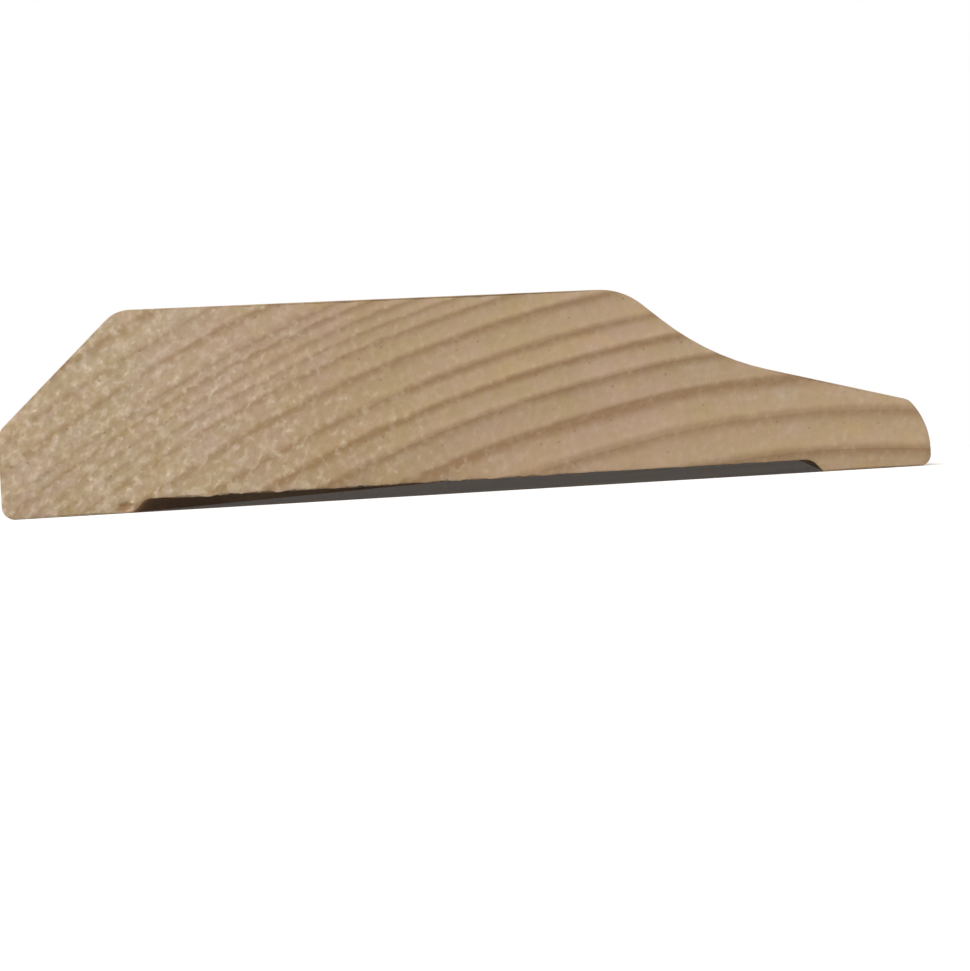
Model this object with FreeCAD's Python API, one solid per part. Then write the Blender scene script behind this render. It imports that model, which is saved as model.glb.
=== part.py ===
import FreeCAD, Part
import math
import os

from FreeCAD import Vector

# One leg of a pine door architrave: solid ogee trim, mitred at its head.
# It lies on its back. X runs across it from the thick edge to the thin nose, Y runs along it
# from the mitred head to the foot, and Z rises from the back to the moulded face.
# Sizes are in millimetres and degrees.

# Planed stock. The thick edge keeps the full length, because it is the long side of the mitre.
WIDTH = 69.0
THICKNESS = 15.0
LENGTH = 2200.0
MITRE_ANGLE = 45.0

# Thick outer edge: an upright wall with a broad chamfer over it, up to the flat of the face
EDGE_HEIGHT = 6.4
CHAMFER_ANGLE = 45.0
CHAMFER_FOOT_RADIUS = 1.5
CHAMFER_BROW_RADIUS = 2.4

# Ogee, with its places measured in from the nose: the flat turns over a brow, falls down a slope
# and is swept out by a cove into a long shallow tail
OGEE_WIDTH = 23.4
BROW_RADIUS = 5.0
TAIL_WIDTH = 17.0
COVE_RADIUS = 20.0
TAIL_SLOPE = 15.0

# Thin nose: a tight crown over a bulging edge, widest a little above the back
CROWN_RADIUS = 1.2
CROWN_END_SLOPE = 50.0
NOSE_RADIUS = 5.6
NOSE_BELLY_HEIGHT = 1.4

# Back: a shallow relief between two feet, so that the leg bears on its edges only
THICK_FOOT_WIDTH = 9.0
THIN_FOOT_WIDTH = 8.6
RELIEF_DEPTH = 1.0
RELIEF_RAMP_ANGLE = 48.0
RELIEF_CORNER_RADIUS = 1.2
FOOT_CORNER_RADIUS = 0.3
BACK_ARRIS_RADIUS = 0.9

# Two rounded corners leave at least this share of the straight run between them
STRAIGHT_SHARE = 0.02

# How far the mitre's waste wedge stands clear of the stock all round
SAW_CLEARANCE = 5.0


def at(x, z):
    """A point of the section."""
    return Vector(x, 0, z)


def direction(start, end):
    return (end - start).normalize()


def rounded_path(start, corners, end):
    """Straight runs from start to end, each corner rounded by a tangent arc of its own radius.

    Where two arcs would meet on the run between them, both are made smaller to fit it.
    """
    points = [start] + [corner for corner, radius in corners] + [end]
    radii = [radius for corner, radius in corners]
    triples = list(zip(points, points[1:], points[2:]))
    half_turns = [(here - before).getAngle(after - here) / 2 for before, here, after in triples]
    reaches = [0] + [radius * math.tan(half) for radius, half in zip(radii, half_turns)] + [0]
    room = []
    for run in range(len(points) - 1):
        length = points[run].distanceToPoint(points[run + 1]) * (1 - STRAIGHT_SHARE)
        wanted = reaches[run] + reaches[run + 1]
        room.append(min(1.0, length / wanted))
    edges = []
    last = start
    for number, (before, here, after) in enumerate(triples, start=1):
        reach = reaches[number] * min(room[number - 1], room[number])
        half = half_turns[number - 1]
        back = direction(here, before)
        ahead = direction(here, after)
        rise = reach / math.tan(half) * (1 / math.cos(half) - 1)
        first = here + back * reach
        middle = here + (back + ahead).normalize() * rise
        edges.append(Part.LineSegment(last, first).toShape())
        last = here + ahead * reach
        edges.append(Part.Arc(first, middle, last).toShape())
    edges.append(Part.LineSegment(last, end).toShape())
    return edges


def on_arc(centre, radius, slope):
    """The point of a convex arc where it falls away at this slope."""
    angle = math.radians(slope)
    return centre + at(math.sin(angle), math.cos(angle)) * radius


def convex_arc(centre, radius, slope, end_slope):
    middle_slope = (slope + end_slope) / 2
    points = [on_arc(centre, radius, value) for value in (slope, middle_slope, end_slope)]
    return Part.Arc(*points).toShape()


def section():
    """Face of the moulding's section, with the thick edge at X = 0 and the back at Z = 0."""
    upright = 90.0
    nose_centre = at(WIDTH - NOSE_RADIUS, NOSE_BELLY_HEIGHT)
    crown_centre = on_arc(nose_centre, NOSE_RADIUS - CROWN_RADIUS, CROWN_END_SLOPE)
    belly = on_arc(nose_centre, NOSE_RADIUS, upright)
    tail_end = on_arc(crown_centre, CROWN_RADIUS, TAIL_SLOPE)

    chamfer_run = (THICKNESS - EDGE_HEIGHT) / math.tan(math.radians(CHAMFER_ANGLE))
    ramp_run = RELIEF_DEPTH / math.tan(math.radians(RELIEF_RAMP_ANGLE))
    tail_start_x = WIDTH - TAIL_WIDTH
    tail_rise = (tail_end.x - tail_start_x) * math.tan(math.radians(TAIL_SLOPE))

    back = [
        (at(WIDTH, 0), BACK_ARRIS_RADIUS),
        (at(WIDTH - THIN_FOOT_WIDTH, 0), FOOT_CORNER_RADIUS),
        (at(WIDTH - THIN_FOOT_WIDTH - ramp_run, RELIEF_DEPTH), RELIEF_CORNER_RADIUS),
        (at(THICK_FOOT_WIDTH + ramp_run, RELIEF_DEPTH), RELIEF_CORNER_RADIUS),
        (at(THICK_FOOT_WIDTH, 0), FOOT_CORNER_RADIUS),
        (at(0, 0), BACK_ARRIS_RADIUS),
    ]
    face = [
        (at(0, EDGE_HEIGHT), CHAMFER_FOOT_RADIUS),
        (at(chamfer_run, THICKNESS), CHAMFER_BROW_RADIUS),
        (at(WIDTH - OGEE_WIDTH, THICKNESS), BROW_RADIUS),
        (at(tail_start_x, tail_end.z + tail_rise), COVE_RADIUS),
    ]
    edges = rounded_path(belly, back + face, tail_end)
    edges.append(convex_arc(crown_centre, CROWN_RADIUS, TAIL_SLOPE, CROWN_END_SLOPE))
    edges.append(convex_arc(nose_centre, NOSE_RADIUS, CROWN_END_SLOPE, upright))
    return Part.Face(Part.Wire(edges))


def mitre_waste():
    """Wedge sawn off the head: nothing at the thick edge, most at the nose."""
    slope = math.tan(math.radians(MITRE_ANGLE))
    low = -SAW_CLEARANCE
    high = WIDTH + SAW_CLEARANCE
    corners = [(low, low * slope), (high, low * slope), (high, high * slope)]
    outline = [Vector(x, y, low) for x, y in corners]
    depth = THICKNESS + 2 * SAW_CLEARANCE
    return Part.Face(Part.makePolygon(outline, True)).extrude(Vector(0, 0, depth))


def architrave():
    """The leg, centred over the origin with its feet at Z = 0."""
    stock = section().extrude(Vector(0, LENGTH, 0))
    leg = stock.cut(mitre_waste()).Solids[0]
    leg.translate(Vector(-WIDTH / 2, -LENGTH / 2, 0))
    return leg


os.makedirs("parts", exist_ok=True)
leg = architrave()
leg.exportStep("parts/architrave.step")
print("section", round(section().Area, 1), "mm2, leg", round(leg.Volume / 1000, 1), "cm3, valid", leg.isValid())
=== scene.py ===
# %% [markdown]
# # A pine architrave leg
#
# The object is one length of planed pine, run to an ogee section and mitred at its head. This
# lesson dresses it: a finely rounded mesh takes the place of the plain construction solid, and two
# finishes, planed and sawn, share one solid block of procedural wood, so that every growth ring
# on the end runs on along the faces.

import math
import random
from itertools import accumulate

import bmesh
import bpy
from mathutils import Euler, Matrix, Vector, noise


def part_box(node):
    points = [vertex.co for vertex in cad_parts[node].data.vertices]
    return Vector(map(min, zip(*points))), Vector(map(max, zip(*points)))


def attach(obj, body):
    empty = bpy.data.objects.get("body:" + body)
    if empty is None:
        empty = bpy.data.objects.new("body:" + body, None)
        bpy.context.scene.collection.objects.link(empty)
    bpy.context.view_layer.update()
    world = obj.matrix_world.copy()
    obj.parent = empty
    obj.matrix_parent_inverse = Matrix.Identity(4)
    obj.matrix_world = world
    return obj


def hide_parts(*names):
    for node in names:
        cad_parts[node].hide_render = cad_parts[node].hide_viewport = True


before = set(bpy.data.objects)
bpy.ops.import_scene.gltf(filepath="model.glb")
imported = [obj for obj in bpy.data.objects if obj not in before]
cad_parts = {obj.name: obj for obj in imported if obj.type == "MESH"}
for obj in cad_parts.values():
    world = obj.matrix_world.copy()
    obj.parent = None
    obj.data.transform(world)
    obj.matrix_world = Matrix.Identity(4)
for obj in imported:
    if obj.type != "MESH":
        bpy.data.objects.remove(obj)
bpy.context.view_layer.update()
leg_low, leg_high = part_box("architrave")

# %% [markdown]
# ## Driving sizes
#
# The width, thickness and length come from the frame, so the mesh can't drift away from the part.
# The knife's profile isn't something a box can tell, so its sizes are given here in millimetres
# and turned into metres once.

# %% Sizes of the section
MM = 0.001
WIDTH = leg_high[0] - leg_low[0]
THICKNESS = leg_high[2] - leg_low[2]
LENGTH = leg_high[1] - leg_low[1]
THICK_EDGE_X = leg_low[0]
HEAD_Y = leg_low[1]
BACK_Z = leg_low[2]

MITRE_ANGLE = math.radians(45)
EDGE_HEIGHT = 6.4 * MM
CHAMFER_ANGLE = math.radians(45)
CHAMFER_FOOT_RADIUS = 1.5 * MM
CHAMFER_BROW_RADIUS = 2.4 * MM
OGEE_WIDTH = 23.4 * MM
BROW_RADIUS = 5.0 * MM
TAIL_WIDTH = 17.0 * MM
COVE_RADIUS = 20.0 * MM
TAIL_SLOPE = math.radians(15)
CROWN_RADIUS = 1.2 * MM
CROWN_END_SLOPE = math.radians(50)
NOSE_RADIUS = 5.6 * MM
NOSE_BELLY_HEIGHT = 1.4 * MM
THICK_FOOT_WIDTH = 9.0 * MM
THIN_FOOT_WIDTH = 8.6 * MM
RELIEF_DEPTH = 1.0 * MM
RELIEF_RAMP_ANGLE = math.radians(48)
RELIEF_CORNER_RADIUS = 1.2 * MM
FOOT_CORNER_RADIUS = 0.3 * MM
BACK_ARRIS_RADIUS = 0.9 * MM
print("section", round(WIDTH / MM, 1), "x", round(THICKNESS / MM, 1), "mm")
print("length", round(LENGTH / MM), "mm")

# %% [markdown]
# ## Drawing the section
#
# A moulding's outline is straight runs joined by true arcs. A vertex bevel would only come near
# a circle where the corner isn't square, so each arc is spun instead: the pen is a single vertex
# that is extruded along a run and spun about the arc's centre.

# %% A pen that draws with one vertex
ARC_STEP = math.radians(4)
WELD = 0.01 * MM
ACROSS = Vector((0, 1, 0))


def at(x, z):
    """A point of the section, measured from the thick edge and the back."""
    return Vector((THICK_EDGE_X + x, 0, BACK_Z + z))


class Pen:
    """Draws a chain of edges and notes how far round the outline each vertex lies."""

    def __init__(self, bm, start):
        self.bm = bm
        self.girth = bm.verts.layers.float.new("girth")
        self.tip = bm.verts.new(start)

    def line_to(self, place):
        done = self.tip[self.girth] + (place - self.tip.co).length
        self.tip = bmesh.ops.extrude_vert_indiv(self.bm, verts=[self.tip])["verts"][0]
        self.tip.co = place
        self.tip[self.girth] = done

    def turn(self, centre, angle):
        """Spins the tip about a centre: a positive angle turns the outline clockwise."""
        done = self.tip[self.girth]
        radius = (self.tip.co - centre).length
        steps = max(2, round(abs(angle) / ARC_STEP))
        before = set(self.bm.verts)
        self.tip = bmesh.ops.spin(
            self.bm, geom=[self.tip], cent=centre, axis=ACROSS, angle=angle, steps=steps,
            use_duplicate=False,
        )["geom_last"][0]
        made = [vert for vert in self.bm.verts if vert not in before]
        for number, vert in enumerate(made, start=1):
            vert[self.girth] = done + radius * abs(angle) * number / steps

    def corner(self, here, after, radius):
        """Runs up to a corner and rounds it with an arc tangent to both runs."""
        ahead = (here - self.tip.co).normalized()
        beyond = (after - here).normalized()
        side = math.copysign(1, ahead.cross(beyond).dot(ACROSS))
        angle = ahead.angle(beyond)
        self.line_to(here - ahead * radius * math.tan(angle / 2))
        inward = ACROSS.cross(ahead) * side
        self.turn(self.tip.co + inward * radius, angle * side)


# %% The outline, once round from the nose
def on_arc(centre, radius, slope):
    """The point of a convex arc where it falls away at this slope."""
    return centre + Vector((math.sin(slope), 0, math.cos(slope))) * radius


def draw_section(bm):
    nose_centre = at(WIDTH - NOSE_RADIUS, NOSE_BELLY_HEIGHT)
    crown_centre = on_arc(nose_centre, NOSE_RADIUS - CROWN_RADIUS, CROWN_END_SLOPE)
    belly = on_arc(nose_centre, NOSE_RADIUS, math.pi / 2)
    tail_end = on_arc(crown_centre, CROWN_RADIUS, TAIL_SLOPE)
    chamfer_run = (THICKNESS - EDGE_HEIGHT) / math.tan(CHAMFER_ANGLE)
    ramp_run = RELIEF_DEPTH / math.tan(RELIEF_RAMP_ANGLE)
    tail_start = at(WIDTH - TAIL_WIDTH, 0)
    tail_start.z = tail_end.z + (tail_end.x - tail_start.x) * math.tan(TAIL_SLOPE)
    corners = [
        (at(WIDTH, 0), BACK_ARRIS_RADIUS),
        (at(WIDTH - THIN_FOOT_WIDTH, 0), FOOT_CORNER_RADIUS),
        (at(WIDTH - THIN_FOOT_WIDTH - ramp_run, RELIEF_DEPTH), RELIEF_CORNER_RADIUS),
        (at(THICK_FOOT_WIDTH + ramp_run, RELIEF_DEPTH), RELIEF_CORNER_RADIUS),
        (at(THICK_FOOT_WIDTH, 0), FOOT_CORNER_RADIUS),
        (at(0, 0), BACK_ARRIS_RADIUS),
        (at(0, EDGE_HEIGHT), CHAMFER_FOOT_RADIUS),
        (at(chamfer_run, THICKNESS), CHAMFER_BROW_RADIUS),
        (at(WIDTH - OGEE_WIDTH, THICKNESS), BROW_RADIUS),
        (tail_start, COVE_RADIUS),
    ]
    following = [corner for corner, radius in corners[1:]] + [tail_end]
    pen = Pen(bm, belly)
    for (here, radius), after in zip(corners, following):
        pen.corner(here, after, radius)
    pen.line_to(tail_end)
    pen.turn(crown_centre, CROWN_END_SLOPE - TAIL_SLOPE)
    pen.turn(nose_centre, math.pi / 2 - CROWN_END_SLOPE)
    girth = pen.tip[pen.girth]
    bmesh.ops.remove_doubles(bm, verts=[pen.tip] + list(bm.verts)[:1], dist=WELD)
    return girth


# %% [markdown]
# ## From section to leg
#
# On the real leg a four-sided planer runs the section and two saws cut the ends. The mesh is made
# in the same order: the section is filled and extruded, ruled across every 100 mm so that no face
# is a 2 m sliver, sawn by a plane at the head, and the sawn arrises are eased by about a tenth
# of a millimetre, as a sharp saw leaves them. The faces of both ends are marked as sawn, and
# all others keep the first finish, the planed one.

# %% Run the stock and saw the mitre
TOUCHING = 0.001 * MM
RULING = 100 * MM
MITRE_HEEL = Vector((THICK_EDGE_X, HEAD_Y, 0))
leg_mesh = bmesh.new()
GIRTH = draw_section(leg_mesh)
print("outline", len(leg_mesh.verts), "vertices, girth", round(GIRTH / MM, 1), "mm")


def run_stock(bm):
    bmesh.ops.translate(bm, verts=bm.verts, vec=(0, HEAD_Y, 0))
    end = bmesh.ops.contextual_create(bm, geom=bm.edges)["faces"]
    far = bmesh.ops.extrude_face_region(bm, geom=end, use_keep_orig=True)["geom"]
    moved = [item for item in far if isinstance(item, bmesh.types.BMVert)]
    bmesh.ops.translate(bm, verts=moved, vec=(0, LENGTH, 0))
    along = [edge for edge in bm.edges if abs(edge.verts[0].co.y - edge.verts[1].co.y) > LENGTH / 2]
    bmesh.ops.subdivide_edges(bm, edges=along, cuts=round(LENGTH / RULING) - 1, use_grid_fill=True)
    bmesh.ops.recalc_face_normals(bm, faces=bm.faces)


def saw_mitre(bm):
    """Takes the waste off the head and closes the cut. Returns the cut's outward direction."""
    outward = Vector((math.sin(MITRE_ANGLE), -math.cos(MITRE_ANGLE), 0))
    everything = list(bm.verts) + list(bm.edges) + list(bm.faces)
    cut = bmesh.ops.bisect_plane(
        bm, geom=everything, plane_co=MITRE_HEEL, plane_no=outward, dist=TOUCHING,
        clear_outer=True,
    )["geom_cut"]
    rim = [item for item in cut if isinstance(item, bmesh.types.BMEdge)]
    bmesh.ops.edgeloop_fill(bm, edges=rim)
    bmesh.ops.recalc_face_normals(bm, faces=bm.faces)
    return outward


run_stock(leg_mesh)
HEAD_OUTWARD = saw_mitre(leg_mesh)
FOOT_OUTWARD = Vector((0, 1, 0))
print("stock", len(leg_mesh.faces), "faces")

# %% Ease the sawn arrises and mark the faces of each end
SAWN = 1
LONG_FACE, HEAD, FOOT = 0, 1, 2
FLUSH = 0.9999
ENDS = {HEAD: HEAD_OUTWARD, FOOT: FOOT_OUTWARD}
ARRIS = 0.12 * MM
part_of = leg_mesh.faces.layers.int.new("part_of")


def ease_arris(bm, end):
    outward = ENDS[end]
    facing = [face for face in bm.faces if face.normal.dot(outward) > FLUSH]
    cap = max(facing, key=lambda face: face.calc_area())
    cap.material_index = SAWN
    cap[part_of] = end
    eased = bmesh.ops.bevel(
        bm, geom=list(cap.edges), offset=ARRIS, offset_type="OFFSET", affect="EDGES",
        segments=2, profile=0.5, material=-1, clamp_overlap=True,
    )["faces"]
    for face in eased:
        face.material_index = SAWN
        face[part_of] = end


for end in ENDS:
    ease_arris(leg_mesh, end)
print("eased", sum(face.material_index == SAWN for face in leg_mesh.faces), "sawn faces")

# %% [markdown]
# ## The sawn surface
#
# A saw leaves shallow arcs, and it tears the soft fibres a little where it breaks out at an arris.
# Each end is ruled into small cells, whose corners then sink by a few hundredths of a millimetre.
# They only ever sink, so that the leg keeps its size. One larger flake is missing beside the
# inner corner of the thick foot, and torn fibres hang like a ragged lip over the relief. A bump
# in the material couldn't show that lip, because it doesn't change an outline.

# %% Rule faces into cells
CELL = 0.4 * MM
UP = Vector((0, 0, 1))


def reach_of(faces, direction):
    reaches = [vert.co.dot(direction) for face in faces for vert in face.verts]
    return min(reaches), max(reaches)


def with_rims(faces):
    """Faces with their edges and corners, each once."""
    edges = dict.fromkeys(edge for face in faces for edge in face.edges)
    verts = dict.fromkeys(vert for edge in edges for vert in edge.verts)
    return [*faces, *edges, *verts]


def rule(bm, faces, direction, low, high):
    """Cuts faces across a direction, into cells of one size between two reaches."""
    faces = list(faces)
    count = round((high - low) / CELL)
    for number in range(1, count):
        reach = low + (high - low) * number / count
        crossed = [
            face for face in faces if face.is_valid
            and min(vert.co.dot(direction) for vert in face.verts) < reach
            and max(vert.co.dot(direction) for vert in face.verts) > reach
        ]
        cut = bmesh.ops.bisect_plane(
            bm, geom=with_rims(crossed), plane_co=direction * reach, plane_no=direction,
            dist=TOUCHING,
        )["geom"]
        known = set(faces)
        found = [item for item in cut if isinstance(item, bmesh.types.BMFace)]
        faces += [face for face in found if face not in known]


# %% Rule the ends
for end, outward in ENDS.items():
    for direction in (outward.cross(UP), UP):
        flat = [face for face in leg_mesh.faces if face.normal.dot(outward) > FLUSH]
        rule(leg_mesh, flat, direction, *reach_of(flat, direction))
print("ruled", len(leg_mesh.faces), "faces")

# %% Rule the lip over the relief
LIP_LENGTH = 1.5 * MM
LIP_Z = BACK_Z + RELIEF_DEPTH


def behind_mitre(place):
    return (MITRE_HEEL - place).dot(HEAD_OUTWARD)


def rule_lip(bm):
    """Cuts the start of the relief's flat and the arris before it into the mitre's cells."""
    relief = [
        face for face in bm.faces
        if all(abs(vert.co.z - LIP_Z) < TOUCHING for vert in face.verts)
        and min(behind_mitre(vert.co) for vert in face.verts) < LIP_LENGTH
    ]
    bmesh.ops.bisect_plane(
        bm, geom=with_rims(relief), dist=TOUCHING,
        plane_co=MITRE_HEEL - HEAD_OUTWARD * LIP_LENGTH, plane_no=HEAD_OUTWARD,
    )
    lip = [
        face for face in bm.faces
        if all(-TOUCHING < vert.co.z - LIP_Z < 1.2 * ARRIS for vert in face.verts)
        and max(behind_mitre(vert.co) for vert in face.verts) < LIP_LENGTH + TOUCHING
    ]
    mitre = [face for face in bm.faces if face.normal.dot(HEAD_OUTWARD) > FLUSH]
    sideways = HEAD_OUTWARD.cross(UP)
    start, end = reach_of(lip, Vector((1, 0, 0)))
    rule(bm, lip, sideways, *reach_of(mitre, sideways))
    return start, end


LIP_START, LIP_END = rule_lip(leg_mesh)
print("lip", round((LIP_END - LIP_START) / MM, 1), "mm wide,", len(leg_mesh.faces), "faces")

# %% Sink the cells
SOFT_LEAST = 0.35
SOFT_START = 10 * MM
SOFT_RUN = 30 * MM
ARC_PITCH = 1.3 * MM
ARC_DEPTH = 0.006 * MM
BLADE_RADIUS = 150 * MM
BLADE_X = 20 * MM
TEAR_DEPTH = 0.030 * MM
TEAR_SIZE = 0.9 * MM
BREAKOUT_DEPTH = 0.11 * MM
BREAKOUT_SIZE = 1.7 * MM
BREAKOUT_BIAS = 0.15
FLAKE_PLACE = at(8.5 * MM, 0.5 * MM)
FLAKE_REACH = Vector((0.65, 0, 0.38)) * MM
FLAKE_DEPTH = 0.24 * MM
FLAKE_GRAIN = 0.35 * MM
FLAKE_RAGGED = 0.5
LIP_DROP = 0.30 * MM
LIP_HEIGHT = 0.9 * MM
LIP_FADE = 1.5 * MM
LIP_BIAS = 0.1
TUFT_SIZE = 1.3 * MM
FRINGE_SIZE = 0.55 * MM
FRINGE_ROW = 4
FRINGE_SHARE = 0.6
OFF_FLAT = 0.99


def softness(place):
    """The wood tears more easily towards the thick edge."""
    share = min(1, max(0, (SOFT_START - place.x) / SOFT_RUN))
    return SOFT_LEAST + (1 - SOFT_LEAST) * share


def saw_relief(place, on_arris):
    """How far the saw has gone below the flat here."""
    blade = math.hypot(place.x - BLADE_X, place.z + BLADE_RADIUS)
    depth = ARC_DEPTH * (1 + math.sin(blade / ARC_PITCH * math.tau)) / 2
    depth += TEAR_DEPTH * softness(place) * max(0, noise.noise(place / TEAR_SIZE))
    if on_arris:
        chipped = noise.noise(place / BREAKOUT_SIZE) + BREAKOUT_BIAS
        depth += BREAKOUT_DEPTH * max(0, chipped)
    return depth


def flake_relief(place):
    across = (place.x - FLAKE_PLACE.x) / FLAKE_REACH.x
    up = (place.z - FLAKE_PLACE.z) / FLAKE_REACH.z
    ragged = 1 + FLAKE_RAGGED * noise.noise(place / FLAKE_GRAIN)
    return FLAKE_DEPTH * max(0, 1 - (across * across + up * up) * ragged)


def lip_drop(place):
    """How far torn fibres hang into the relief here. Beside and behind the lip they don't."""
    inside = min(place.x - LIP_START, LIP_END - place.x) / LIP_FADE
    above = 1 - (place.z - LIP_Z) / LIP_HEIGHT
    share = min(inside, above, 1 - behind_mitre(place) / LIP_LENGTH, 1)
    if place.z < LIP_Z - TOUCHING or share <= 0:
        return 0
    tufts = noise.noise(Vector((place.x / TUFT_SIZE, 0, 0)))
    fringe = noise.noise(Vector((place.x / FRINGE_SIZE, FRINGE_ROW, 0)))
    torn = max(0, tufts + fringe * FRINGE_SHARE + LIP_BIAS)
    return LIP_DROP * softness(place) * share * torn


def is_arris(face, outward):
    """Whether a face lies round the end's flat and not in it."""
    return face[part_of] == LONG_FACE or abs(face.normal.dot(outward)) < OFF_FLAT


def sink_end(bm, end):
    inward = -1 if ENDS[end].y > 0 else 1
    along_grain = inward / abs(ENDS[end].y)
    verts = {vert for face in bm.faces if face[part_of] == end for vert in face.verts}
    for vert in verts:
        on_arris = any(is_arris(face, ENDS[end]) for face in vert.link_faces)
        depth = saw_relief(vert.co, on_arris)
        if end == HEAD:
            depth += flake_relief(vert.co)
        vert.co.y += depth * along_grain
    return len(verts)


def drop_lip(bm):
    drops = {vert: lip_drop(vert.co) for vert in bm.verts if behind_mitre(vert.co) < LIP_LENGTH}
    for vert, drop in drops.items():
        vert.co.z -= drop
    return max(drops.values())


print("lip hangs down by", round(drop_lip(leg_mesh) / MM, 3), "mm")
for end in ENDS:
    print("sank", sink_end(leg_mesh, end), "corners of end", end)

# %% [markdown]
# ## Laying out the faces
#
# Baked into one small picture and unwrapped to scale, a 2.2 m stick would leave a few pixels
# for each end, and the ends are where the rings show. So this map gives the mitre the most
# room, and squeezes the long faces lengthwise, where the grain changes slowly.

# %% The bake's map
MARGIN = 0.012
SHEET = 1 - 2 * MARGIN
END_SCALE = SHEET / (WIDTH / math.cos(MITRE_ANGLE))
END_HEIGHT = THICKNESS * END_SCALE
HEAD_SHELF = 1 - MARGIN - END_HEIGHT
FOOT_SHELF = HEAD_SHELF - MARGIN - END_HEIGHT
LONG_SHELF = FOOT_SHELF - 2 * MARGIN


def end_place(co, end):
    sideways = UP.cross(ENDS[end])
    start = MITRE_HEEL if end == HEAD else leg_high
    across = abs((co - start).dot(sideways))
    shelf = HEAD_SHELF if end == HEAD else FOOT_SHELF
    return (MARGIN + across * END_SCALE, shelf + (co.z - BACK_Z) * END_SCALE)


def long_place(co, girth):
    along = (co.y - HEAD_Y) / LENGTH
    return (MARGIN + along * SHEET, MARGIN + girth / GIRTH * (LONG_SHELF - MARGIN))


def lay_out(bm):
    girth = bm.verts.layers.float["girth"]
    uv = bm.loops.layers.uv.new("OFBake")
    for face in bm.faces:
        around = [loop.vert[girth] for loop in face.loops]
        if max(around) - min(around) > GIRTH / 2:
            around = [value + GIRTH if value < GIRTH / 2 else value for value in around]
        for loop, value in zip(face.loops, around):
            if face[part_of] == LONG_FACE:
                loop[uv].uv = long_place(loop.vert.co, value)
            else:
                loop[uv].uv = end_place(loop.vert.co, face[part_of])


lay_out(leg_mesh)
print("end scale", round(END_SCALE * MM, 4), "of the sheet per mm")

# %% Make the object
leg_data = bpy.data.meshes.new("architrave_leg")
leg_mesh.to_mesh(leg_data)
leg_mesh.free()
leg = bpy.data.objects.new("architrave_leg", leg_data)
bpy.context.scene.collection.objects.link(leg)
bpy.context.view_layer.objects.active = leg
leg.select_set(True)
bpy.ops.object.shade_smooth_by_angle(angle=math.radians(20))
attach(leg, "root")
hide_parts("architrave")
print("leg", len(leg_data.vertices), "vertices,", len(leg_data.polygons), "faces")

# %% [markdown]
# ## Arithmetic on sockets
#
# The wood is a formula: how far a point is from the pith, which ring that falls in, and how deep
# in the ring it lies. A wire wraps one output socket, so that such a formula can be written down
# as one and still ends up as plain nodes. The noise texture keeps close to 0.5, so its distance
# from there is spread out.

# %% Wires and trees
NOISE_SPREAD = 3.2


class Wire:
    """An output socket that arithmetic adds Math nodes behind."""

    def __init__(self, tree, socket):
        self.tree = tree
        self.socket = socket

    def __add__(self, other):
        return calc("ADD", self, other)

    def __sub__(self, other):
        return calc("SUBTRACT", self, other)

    def __mul__(self, other):
        return calc("MULTIPLY", self, other)

    def __truediv__(self, other):
        return calc("DIVIDE", self, other)

    def __pow__(self, other):
        return calc("POWER", self, other)

    def __rsub__(self, other):
        return calc("SUBTRACT", other, self)

    __radd__ = __add__
    __rmul__ = __mul__


class Tree:
    """A node tree, with one way to add any node."""

    def __init__(self, nodes_and_links):
        self.data = nodes_and_links

    def node(self, kind, inputs=None, output=0, **settings):
        """Its settings come first, because they decide which sockets the node has."""
        made = self.data.nodes.new(kind)
        for name, value in settings.items():
            setattr(made, name, value)
        for name, value in (inputs or {}).items():
            self.plug(made.inputs[name], value)
        return Wire(self, made.outputs[output]) if made.outputs else made

    def plug(self, socket, value):
        if isinstance(value, Wire):
            self.data.links.new(value.socket, socket)
        else:
            socket.default_value = value


def calc(operation, *values):
    tree = next(value.tree for value in values if isinstance(value, Wire))
    return tree.node("ShaderNodeMath", dict(enumerate(values)), operation=operation)


def ramp(value, low, high, low_result=0.0, high_result=1.0, shape="SMOOTHSTEP"):
    """Goes from one result to the other as the value passes from low to high, and no further."""
    inputs = dict(enumerate((value, low, high, low_result, high_result)))
    return value.tree.node("ShaderNodeMapRange", inputs, interpolation_type=shape, clamp=True)


def blend(share, first, second, how="MIX"):
    """Mixes two colours."""
    inputs = {0: share, 6: first, 7: second}
    return share.tree.node(
        "ShaderNodeMix", inputs, output=2, data_type="RGBA", blend_type=how, clamp_factor=True
    )


def dimmed(colour, factor):
    """A colour with all its channels multiplied by a number."""
    return colour.tree.node(
        "ShaderNodeVectorMath", {0: colour, 3: factor}, operation="SCALE"
    )


def parts(vector):
    made = vector.tree.node("ShaderNodeSeparateXYZ", {0: vector})
    return [Wire(vector.tree, socket) for socket in made.socket.node.outputs]


def joined(x, y, z):
    tree = next(value.tree for value in (x, y, z) if isinstance(value, Wire))
    return tree.node("ShaderNodeCombineXYZ", {0: x, 1: y, 2: z})


def grainy(x, y, z, detail=2.0, roughness=0.5):
    """Noise about zero, mostly within -1 and 1."""
    place = joined(x, y, z)
    inputs = {"Vector": place, "Scale": 1.0, "Detail": detail, "Roughness": roughness}
    raised = place.tree.node("ShaderNodeTexNoise", inputs, output="Fac", noise_dimensions="3D")
    return (raised - 0.5) * NOISE_SPREAD


def srgb(red, green, blue):
    """A colour picked off a screen, as the linear values that a shader works in."""
    shares = [value / 255 for value in (red, green, blue)]
    linear = [s / 12.92 if s <= 0.04045 else ((s + 0.055) / 1.055) ** 2.4 for s in shares]
    return (*linear, 1)

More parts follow.
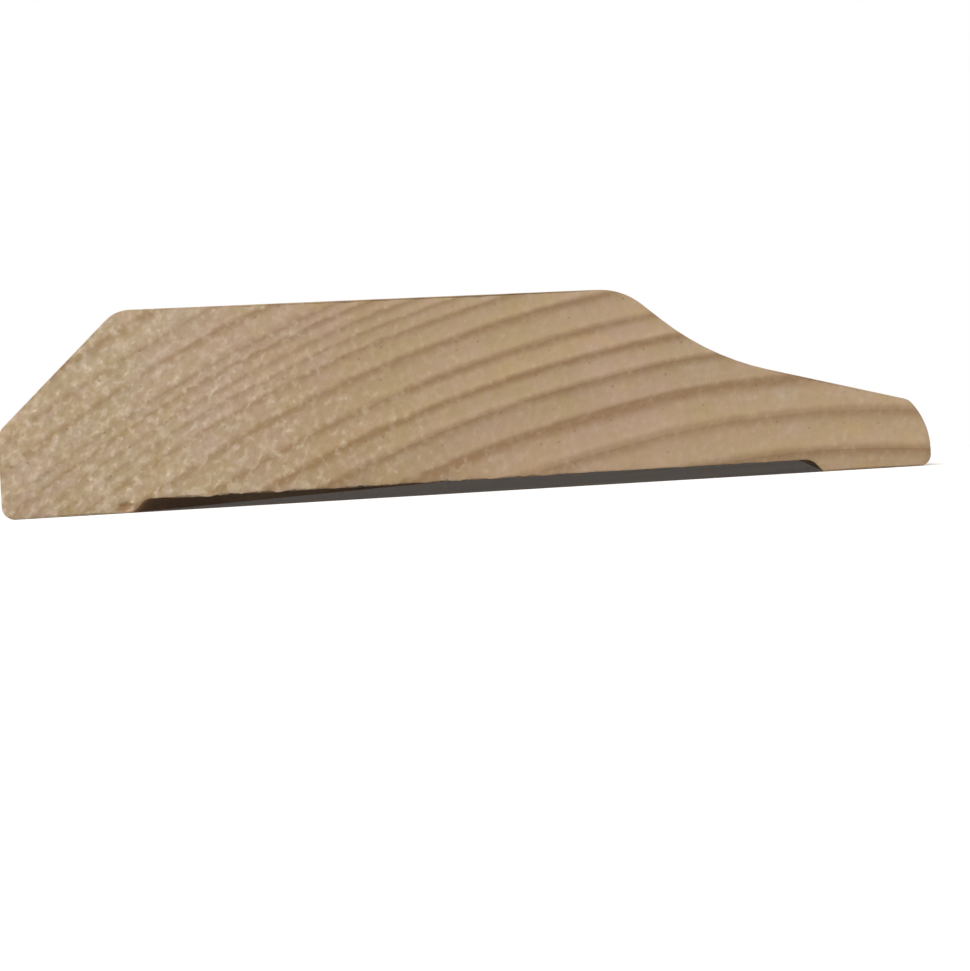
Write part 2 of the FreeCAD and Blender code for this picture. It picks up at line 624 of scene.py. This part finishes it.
# %% [markdown]
# ## The block of wood
#
# Pine is a stack of cones of growth about a pith. The rings on the sawn head are arcs about one
# point, about 80 mm below the nose's end of the section. Where their dark lines lie was measured
# on the photo, as distances from the pith, and how strong each line is was judged against it. The
# tone of a whole ring is random, and isn't fitted to the photo.
#
# The pith is given the gentle sweep and taper of a real trunk further along the leg, which is what
# draws long flames on the flat-sawn faces. It starts from nothing at the head, so that the rings
# there stay where they were measured. One line is added on the pith's side of them, and on the
# bark's side the ring widths and strengths are random but seeded.
#
# Sizes are in millimetres here. A noise gets each coordinate divided by the size of its grain
# along it, so x / 18, y / 300 and z / 18 are patches about 18 mm across and 300 mm long.

# %% The rings
PITH_X = 27.5
PITH_Z = -79.0
RING_LINES = [
    78.0, 80.7, 83.7, 86.7, 89.2, 91.2, 93.1, 95.5, 97.25, 98.3, 99.25, 100.3, 101.1, 103.05,
    104.75, 106.7,
]
RING_STRENGTH = [
    0.70, 0.60, 0.58, 0.93, 0.62, 0.82, 0.66, 0.60, 0.46, 0.32, 0.36, 0.48, 0.38, 0.58, 0.38,
    0.85,
]
NARROW_START = 97.25
NARROW_END = 101.1
NARROW_EDGE = 0.5
NARROW_FADE = 1.5
STEP_START = 0.12
STEP_END = 0.45
INNER_LINE = 75.2
OUTER_RINGS = 13
OUTER_SEED = 11
draw = random.Random(OUTER_SEED)
outer_widths = [draw.uniform(1.3, 2.6) for ring in range(OUTER_RINGS)]
outer_strength = [draw.uniform(0.55, 0.95) for ring in outer_widths]
outer_lines = [RING_LINES[-1] + reach for reach in accumulate(outer_widths)]
LINES = [INNER_LINE] + RING_LINES + outer_lines
STRENGTH = RING_STRENGTH + outer_strength
print("rings from", LINES[0], "to", round(LINES[-1], 1), "mm from the pith")


# %% The pith's drift and the count of the rings
TO_MM = 1000
SWEEP = {1.7: -4.5, 8.3: 0.5}
TAPER = {1.25: 8.0, 6.1: 0.7}
print("the pith wanders in", len(SWEEP) + len(TAPER), "slow waves")


def pith_drift(along, waves):
    """How far the pith lies from its place at the head, this many metres along.

    Each wave has its radians per metre and its size in mm, and starts from nothing.
    """
    drifts = [(1 - calc("COSINE", along * rate)) * size for rate, size in waves.items()]
    return drifts[0] + drifts[1]


def ring_count(radius):
    """A whole number at each dark line and a part of one between them."""
    turns = [ramp(radius, low, high, shape="LINEAR") for low, high in zip(LINES, LINES[1:])]
    return sum(turns[1:], turns[0])


def ring_strength(radius):
    """How dark the latewood of this ring is. It changes just outside each line."""
    value = STRENGTH[0]
    for line, before, after in zip(LINES[1:], STRENGTH, STRENGTH[1:]):
        value = ramp(radius, line + STEP_START, line + STEP_END) * (after - before) + value
    return value


# %% Where a point grew
ARC_RADIUS = 95
CANAL_SPACING = 1.4
CANAL_SIZE = 0.05
CANAL_EDGE = 0.05


def place_in_mm(tree):
    return [part * TO_MM for part in parts(tree.node("ShaderNodeTexCoord", output="Object"))]


def grown_at(x, y, z):
    """How far out from the pith a point's wood grew, in mm, and its angle round the pith."""
    along = (y - HEAD_Y / MM) / TO_MM
    across = x - PITH_X - pith_drift(along, SWEEP)
    up = z - PITH_Z + pith_drift(along, TAPER)
    wave = grainy(x / 18, y / 300, z / 18, detail=1.0) * ramp(along, 0.0, 0.7, 0.15, 0.60)
    ragged = grainy(x / 0.8, y / 22, z / 0.8, detail=3.0, roughness=0.6)
    ragged = ragged * ramp(x, 8.0, -20.0, 0.07, 0.19)
    radius = calc("SQRT", across * across + up * up) + wave + ragged
    return radius, calc("ARCTAN2", across, up)


# %% Latewood and resin
def latewood_at(radius, depth, patchy, clotted):
    """How dark with latewood a point is: most at its ring's outer line, less towards the pith."""
    strength = ring_strength(radius)
    narrow = ramp(radius, NARROW_START - NARROW_EDGE, NARROW_START + NARROW_EDGE)
    narrow = narrow * ramp(radius, NARROW_END, NARROW_END + NARROW_FADE, 1.0, 0.0)
    share = strength * 0.17 + 0.16 + patchy * 0.05 + narrow * 0.20
    rise = ramp(depth, 1 - share * 1.2, 1 - share * 0.06)
    fall = ramp(depth, 0.0, narrow * 0.12 + 0.23, 1.0, 0.0)
    late = calc("MAXIMUM", rise, fall) * strength * (patchy * 0.28 + clotted * 0.24 + 1)
    turning = depth * depth * depth * 0.28
    return calc("MINIMUM", late + turning, 1.0)


def resin_canals(x, y, z, depth):
    """Small spots across the grain that run on as dashes along it, in a ring's outer part."""
    wander_x = grainy(x / 30, y / 45, z / 30, detail=0.0) * 0.35
    wander_z = grainy(x / 30 + 7.3, y / 45, z / 30, detail=0.0) * 0.35
    place = joined((x + wander_x) / CANAL_SPACING, (z + wander_z) / CANAL_SPACING, 0.0)
    nearest = place.tree.node(
        "ShaderNodeTexVoronoi", {"Vector": place, "Scale": 1.0},
        output="Distance", voronoi_dimensions="2D",
    )
    size = parts(Wire(place.tree, nearest.socket.node.outputs["Color"]))[0] * CANAL_SIZE
    canal = ramp(nearest, size, size + CANAL_EDGE, 1.0, 0.0) * ramp(size, 0.012, 0.045)
    return canal * ramp(depth, 0.30, 0.55)


# %% The block as a node group
def pine_block():
    """Everything that both finishes read from the wood, as one node group."""
    group = bpy.data.node_groups.new("pine_block", "ShaderNodeTree")
    tree = Tree(group)
    x, y, z = place_in_mm(tree)
    radius, angle = grown_at(x, y, z)
    arc = angle * ARC_RADIUS
    count = ring_count(radius)
    ring = calc("FLOOR", count)
    depth = calc("FRACT", count)
    patchy = grainy(arc / 7, y / 160, radius / 2.4, detail=2.0)
    clotted = grainy(x / 1.5, y / 60, z / 1.2, detail=2.0, roughness=0.6)
    own_tone = tree.node("ShaderNodeTexWhiteNoise", {"W": ring}, noise_dimensions="1D")
    outputs = {
        "latewood": latewood_at(radius, depth, patchy, clotted),
        "fresh": ramp(depth, 0.0, 0.18) * ramp(depth, 0.15, 0.95, 1.0, 0.0, shape="LINEAR"),
        "ring tone": own_tone - 0.5,
        "drift": grainy(x / 22, y / 340, z / 22, detail=2.0),
        "growth": grainy(radius / 0.45, angle * 2, y / 500, detail=2.0),
        "clotted": clotted,
        "ray": grainy(arc / 0.13, y / 1.1, radius / 5.5, detail=1.0),
        "fibre": grainy(x / 0.34, y / 15, z / 0.34, detail=3.0, roughness=0.75),
        "streak": grainy(x / 1.7, y / 110, z / 1.7, detail=3.0, roughness=0.7),
        "canal": resin_canals(x, y, z, depth),
    }
    for name in outputs:
        group.interface.new_socket(name, in_out="OUTPUT", socket_type="NodeSocketFloat")
    end = group.nodes.new("NodeGroupOutput")
    for name, value in outputs.items():
        tree.plug(end.inputs[name], value)
    return group


block = pine_block()
print("pine block", len(block.nodes), "nodes")


def read_block(tree):
    """The block's outputs, by name, in a material's own tree."""
    made = tree.data.nodes.new("ShaderNodeGroup")
    made.node_tree = block
    return {socket.name: Wire(tree, socket) for socket in made.outputs}


def finish_material(name):
    """An empty material with its tree and its main shader."""
    material = bpy.data.materials.new(name)
    material.use_nodes = True
    tree = Tree(material.node_tree)
    shader = material.node_tree.nodes["Principled BSDF"]
    return material, tree, shader


def give_finish(material):
    leg_data.materials.append(material)
    print(material.name, len(material.node_tree.nodes), "nodes")


# %% [markdown]
# ## The planed finish
#
# Four faces come off the planer's knives: clean, pale and a little silky. Earlywood is cream,
# latewood is honey brown and slightly harder and glossier. Fibres make fine streaks along the
# leg, resin canals make short brown dashes, and the knives leave a ripple that only shows in
# raking light.

# %% Planed pine
COOL_CREAM = srgb(208, 183, 150)
WARM_CREAM = srgb(214, 185, 147)
HONEY_BROWN = srgb(176, 132, 88)
RESIN_BROWN = srgb(132, 92, 56)
RIPPLE_PITCH = 1.9
RIPPLE_HEIGHT = 0.0016


def planed_pine():
    material, tree, shader = finish_material("planed_pine")
    wood = read_block(tree)
    x, y, z = place_in_mm(tree)
    late = wood["latewood"]
    early_colour = blend(ramp(wood["drift"], -0.9, 0.9), COOL_CREAM, WARM_CREAM)
    colour = blend(late, early_colour, HONEY_BROWN)
    colour = blend(wood["canal"] * 0.45, colour, RESIN_BROWN)
    tone = wood["fibre"] * 0.085 + wood["streak"] * 0.055 + wood["ring tone"] * 0.07 + 1
    tone = tone + wood["ray"] * 0.012 + wood["growth"] * 0.022 + wood["fresh"] * 0.045 - 0.02
    tree.plug(shader.inputs["Base Color"], dimmed(colour, tone))
    roughness = 0.60 - late * 0.12 + wood["fibre"] * 0.05
    tree.plug(shader.inputs["Roughness"], roughness)
    ripple = calc("SINE", y * (math.tau / RIPPLE_PITCH)) * RIPPLE_HEIGHT
    height = ripple + wood["fibre"] * 0.004 + late * 0.006 - wood["canal"] * 0.02
    bump = tree.node("ShaderNodeBump", {"Height": height, "Distance": MM, "Strength": 1.0})
    tree.plug(shader.inputs["Normal"], bump)
    shader.inputs["Specular IOR Level"].default_value = 0.35
    return material


give_finish(planed_pine())

# %% [markdown]
# ## The sawn finish
#
# On the ends the fibres are seen end on. The cut drinks in light, so it's darker and matt. Each
# latewood band is darkest at its ring's line: it ends soon on the bark's side and fades more
# slowly towards the pith, with faint rays across it. Towards the thick edge the saw has torn
# the soft fibres into a nap of small pale flecks, with small dark specks among them. The tips of
# the flecks carry a painted highlight and the hollows between them painted shade. Where the
# flake is missing the wood is coloured a darker brown, with one pale splinter beside it.

# %% Torn fibres and the flake
NAP_START = 10.0
NAP_END = -26.0
NAP_LEAST = 0.16
NAP_LEAN = math.radians(56)
SPLINTER_PLACE = at(9.05 * MM, 0.80 * MM)
SPLINTER_REACH = Vector((0.16, 0, 0.10)) * MM


def nap(x, y, z):
    """Clumps of torn fibre ends, the finest tips on them, and how far the face is torn at all."""
    leaning = x * math.cos(NAP_LEAN) + z * math.sin(NAP_LEAN)
    upright = z * math.cos(NAP_LEAN) - x * math.sin(NAP_LEAN)
    clump = grainy(leaning / 0.62, y / 2.4, upright / 0.54, detail=1.0, roughness=0.55)
    tip = grainy(leaning / 0.46, y / 2.4, upright / 0.34 + 3.1, detail=1.0)
    patch = grainy(x / 6, y / 7, z / 6, detail=2.0) * 0.14
    reach = ramp(x + z * 0.8, NAP_START, NAP_END, NAP_LEAST, 1.0)
    return clump, tip, calc("MAXIMUM", reach + patch * reach, 0.05)


def spot(x, z, centre, reach):
    """A small ragged spot on a sawn face, one at its centre and nothing beyond its reach."""
    across = (x - centre.x / MM) / (reach.x / MM)
    up = (z - centre.z / MM) / (reach.z / MM)
    up = up - across * 0.35
    ragged = grainy(x / 0.42, z / 0.34, 0.7, detail=3.0) * 0.55
    return ramp(across * across + up * up + ragged, 0.25, 1.25, 1.0, 0.0)


# %% Sawn pine
CLEAN_WOOD = srgb(171, 147, 111)
ROSY_CLEAN_WOOD = srgb(177, 149, 125)
TORN_WOOD = srgb(177, 157, 123)
ROSY_TORN_WOOD = srgb(184, 158, 137)
TAWNY = srgb(180, 151, 108)
ASHEN = srgb(176, 159, 137)
CLEAN_LATEWOOD = srgb(140, 109, 77)
TORN_LATEWOOD = srgb(147, 112, 66)
RAISED_FIBRE = srgb(210, 190, 166)
# Painted shade for the hollows between the torn fibre clumps.
HOLLOW_SHADE = srgb(150, 124, 87)
# Painted highlight for the tops of the torn fibre clumps.
TIP_HIGHLIGHT = srgb(225, 208, 184)
SPECK_BROWN = srgb(124, 102, 70)
SAWN_RESIN = srgb(122, 92, 62)
FLAKE_BROWN = srgb(142, 108, 68)
PALE_SPLINTER = srgb(222, 202, 172)


def sawn_pine():
    material, tree, shader = finish_material("sawn_pine")
    wood = read_block(tree)
    x, y, z = place_in_mm(tree)
    late = wood["latewood"]
    hue = grainy(x / 10, y / 10, z / 10, detail=1.0) + grainy(x / 1.7, y / 9, z / 1.4, detail=2.0)
    hue = hue * 0.8 + grainy(x / 0.8, y / 9, z / 0.7, detail=2.0) * 0.6
    rosy = ramp(hue, -1.0, 1.0)
    tawny = grainy(x / 3.2 + 5.1, y / 12, z / 2.4, detail=3.0, roughness=0.6)
    speck = grainy(x / 0.30, y / 2.0, z / 0.26 + 8.3, detail=1.0)
    clump, tip, torn = nap(x, y, z)
    clean_colour = blend(rosy, CLEAN_WOOD, ROSY_CLEAN_WOOD)
    torn_colour = blend(rosy, TORN_WOOD, ROSY_TORN_WOOD)
    early_colour = blend(ramp(x, -8.0, -26.0), clean_colour, torn_colour)
    early_colour = blend(ramp(tawny, 0.0, 1.1) * 0.65, early_colour, TAWNY)
    early_colour = blend(ramp(tawny, 0.0, -1.1) * 0.65, early_colour, ASHEN)
    broken = 1 - wood["clotted"] * torn * 0.65 - clump * torn * 0.25
    late_colour = blend(torn, CLEAN_LATEWOOD, TORN_LATEWOOD)
    colour = blend(late * (0.86 - torn * 0.38) * broken, early_colour, late_colour)
    raised = ramp(clump, -0.15, 0.65)
    colour = blend(raised * torn * 0.46, colour, RAISED_FIBRE)
    # Painted shade: the hollows between the raised clumps of torn fibre are darkened towards a
    # brown.
    hollow = ramp(clump + tip * 0.4, -0.10, -0.85)
    colour = blend(hollow * torn * 0.35, colour, HOLLOW_SHADE)
    # Painted highlight: the tops of the clumps and their finest tips are lightened towards a pale
    # cream.
    colour = blend(ramp(tip + clump * 0.7, 0.45, 1.25) * torn * 0.52, colour, TIP_HIGHLIGHT)
    # Small dark specks among the torn fibres.
    colour = blend(ramp(speck, 0.85, 1.20) * torn * 0.40, colour, SPECK_BROWN)
    colour = blend(wood["canal"] * 0.38, colour, SAWN_RESIN)
    at_head = calc("LESS_THAN", y, 0.0)
    flake = spot(x, z, FLAKE_PLACE, FLAKE_REACH)
    # Where the flake is missing, the colour goes to a darker brown.
    colour = blend(flake * at_head * 0.75, colour, FLAKE_BROWN)
    splinter = spot(x, z, SPLINTER_PLACE, SPLINTER_REACH)
    colour = blend(splinter * at_head * 0.8, colour, PALE_SPLINTER)
    ringed = (wood["ring tone"] * 0.08 + wood["fresh"] * 0.11) * (1 - torn * 0.45)
    tone = wood["fibre"] * 0.018 + wood["ray"] * 0.022 + wood["growth"] * 0.014 + ringed + 0.95
    tone = tone + wood["drift"] * 0.012 - wood["clotted"] * (0.040 - torn * 0.020)
    tree.plug(shader.inputs["Base Color"], dimmed(colour, tone))
    tree.plug(shader.inputs["Roughness"], 0.86 - late * 0.10 + wood["fibre"] * 0.03)
    height = (raised + tip * 0.3) * torn * 0.030 + late * 0.012
    height = height + wood["fibre"] * 0.006 + wood["ray"] * 0.004
    bump = tree.node("ShaderNodeBump", {"Height": height, "Distance": MM, "Strength": 1.0})
    tree.plug(shader.inputs["Normal"], bump)
    shader.inputs["Specular IOR Level"].default_value = 0.25
    return material


give_finish(sawn_pine())

# %% [markdown]
# ## The stage
#
# The photo looks almost level at the mitred head, through a long lens from less than a metre
# away. The camera stands where the perspective of the head puts it. The floor is pale, and the
# camera sees it as bright as the white surroundings except where the leg's shadow falls.

# %% Camera
LENS_PIXELS = 11000
PICTURE_PIXELS = 971
CAMERA_OFFSET = 22.0 * MM
CAMERA_HEIGHT = 2.0 * MM
CAMERA_DISTANCE = 803.0 * MM
CAMERA_TURN = math.radians(1.506)
CAMERA_TILT = math.radians(-0.105)
CAMERA_ROLL = math.radians(-3.285)

camera_data = bpy.data.cameras.new("camera")
camera_data.sensor_width = 36.0
camera_data.lens = camera_data.sensor_width * LENS_PIXELS / PICTURE_PIXELS
camera_data.clip_start = 1 * MM
camera = bpy.data.objects.new("camera", camera_data)
bpy.context.scene.collection.objects.link(camera)
camera.location = (CAMERA_OFFSET, HEAD_Y - CAMERA_DISTANCE, CAMERA_HEIGHT)
level = Euler((math.pi / 2 + CAMERA_TILT, 0, CAMERA_TURN)).to_matrix()
camera.rotation_euler = (level @ Matrix.Rotation(CAMERA_ROLL, 3, "Z")).to_euler()
bpy.context.scene.camera = camera
print("lens", round(camera_data.lens, 1), "mm")

# %% [markdown]
# ### Floor and light
#
# The floor is a pale sheet that is seen as white as the surroundings, except where the leg's
# shadow falls. It fades out further off, so that no edge shows. A little light comes through it, as
# through paper, so that the hollow back isn't lost in black, and it's wide open to whoever looks up
# from below. Two wide, soft lamps stand about.

# %% Floor
FLOOR_REACH = 3.4
FLOOR_FADE = 1.7
LIGHT_THROUGH = 0.05
LIFT_CLOSE = 0.05
LIFT_AWAY = 0.30
AWAY_START = 0.15
AWAY_END = 0.90
FLOOR_GAP = 0.02 * MM
FLOOR_GREY = srgb(236, 236, 236)
WHITE = (1, 1, 1, 1)
floor_mesh = bmesh.new()
bmesh.ops.create_circle(floor_mesh, cap_ends=True, segments=96, radius=FLOOR_REACH)
bmesh.ops.translate(floor_mesh, verts=floor_mesh.verts, vec=(0, 0, BACK_Z - FLOOR_GAP))
floor_data = bpy.data.meshes.new("floor")
floor_mesh.to_mesh(floor_data)
floor_mesh.free()
floor = bpy.data.objects.new("floor", floor_data)
bpy.context.scene.collection.objects.link(floor)


def looking(tree):
    """One where a ray shows the surroundings to the eye, straight, mirrored or through glass."""
    path = tree.node("ShaderNodeLightPath").socket.node.outputs
    straight = Wire(tree, path["Is Camera Ray"])
    mirrored = Wire(tree, path["Is Glossy Ray"])
    through = Wire(tree, path["Is Transmission Ray"])
    return calc("MAXIMUM", straight, calc("MAXIMUM", mirrored, through))


def floor_paint():
    material, tree, shader = finish_material("floor_paint")
    seen = looking(tree)
    tree.plug(shader.inputs["Base Color"], blend(seen, FLOOR_GREY, WHITE))
    shader.inputs["Roughness"].default_value = 0.9
    shader.inputs["Specular IOR Level"].default_value = 0.0
    x, y, z = parts(tree.node("ShaderNodeTexCoord", output="Object"))
    faded = ramp(calc("SQRT", x * x + y * y), FLOOR_FADE, FLOOR_REACH)
    underside = tree.node("ShaderNodeNewGeometry", output="Backfacing")
    passed = tree.node("ShaderNodeLightPath", output="Transparent Depth")
    passed_before = calc("MINIMUM", passed, 1.0)
    below = calc("MAXIMUM", underside, passed_before)
    open_share = calc("MAXIMUM", calc("MAXIMUM", faded, below), (1 - seen) * LIGHT_THROUGH)
    clear = tree.node("ShaderNodeBsdfTransparent")
    beside = calc("MAXIMUM", calc("ABSOLUTE", x), calc("ABSOLUTE", y) - LENGTH / 2)
    strength = ramp(beside, AWAY_START, AWAY_END, LIFT_CLOSE, LIFT_AWAY) * seen
    lift = tree.node("ShaderNodeEmission", {"Color": WHITE, "Strength": strength})
    painted = tree.node("ShaderNodeAddShader", {0: Wire(tree, shader.outputs[0]), 1: lift})
    shown = tree.node("ShaderNodeMixShader", {0: open_share, 1: painted, 2: clear})
    tree.plug(material.node_tree.nodes["Material Output"].inputs["Surface"], shown)
    return material


floor_data.materials.append(floor_paint())
print("floor reaches", FLOOR_REACH, "m")

# %% World and lights
LIGHT_OF_WORLD = 0.62


def studio_world():
    """White to look at, and softer than that as a light."""
    world = bpy.data.worlds.new("studio")
    world.use_nodes = True
    tree = Tree(world.node_tree)
    seen = looking(tree)
    background = world.node_tree.nodes["Background"]
    background.inputs["Color"].default_value = WHITE
    tree.plug(background.inputs["Strength"], seen * (1 - LIGHT_OF_WORLD) + LIGHT_OF_WORLD)
    return world


def soft_box(name, place, target, size, watts):
    light = bpy.data.lights.new(name, "AREA")
    light.shape = "DISK"
    light.size = size
    light.energy = watts
    box = bpy.data.objects.new(name, light)
    box.location = place
    box.rotation_euler = (Vector(target) - Vector(place)).to_track_quat("-Z", "Y").to_euler()
    bpy.context.scene.collection.objects.link(box)


bpy.context.scene.world = studio_world()
soft_box("key", place=(-1.2, -4.5, 2.8), target=(0, -0.6, 0), size=1.6, watts=150)
soft_box("fill", place=(3.2, 3.6, 3.0), target=(0, 0.5, 0), size=2.4, watts=70)
bpy.context.scene.view_settings.view_transform = "Standard"
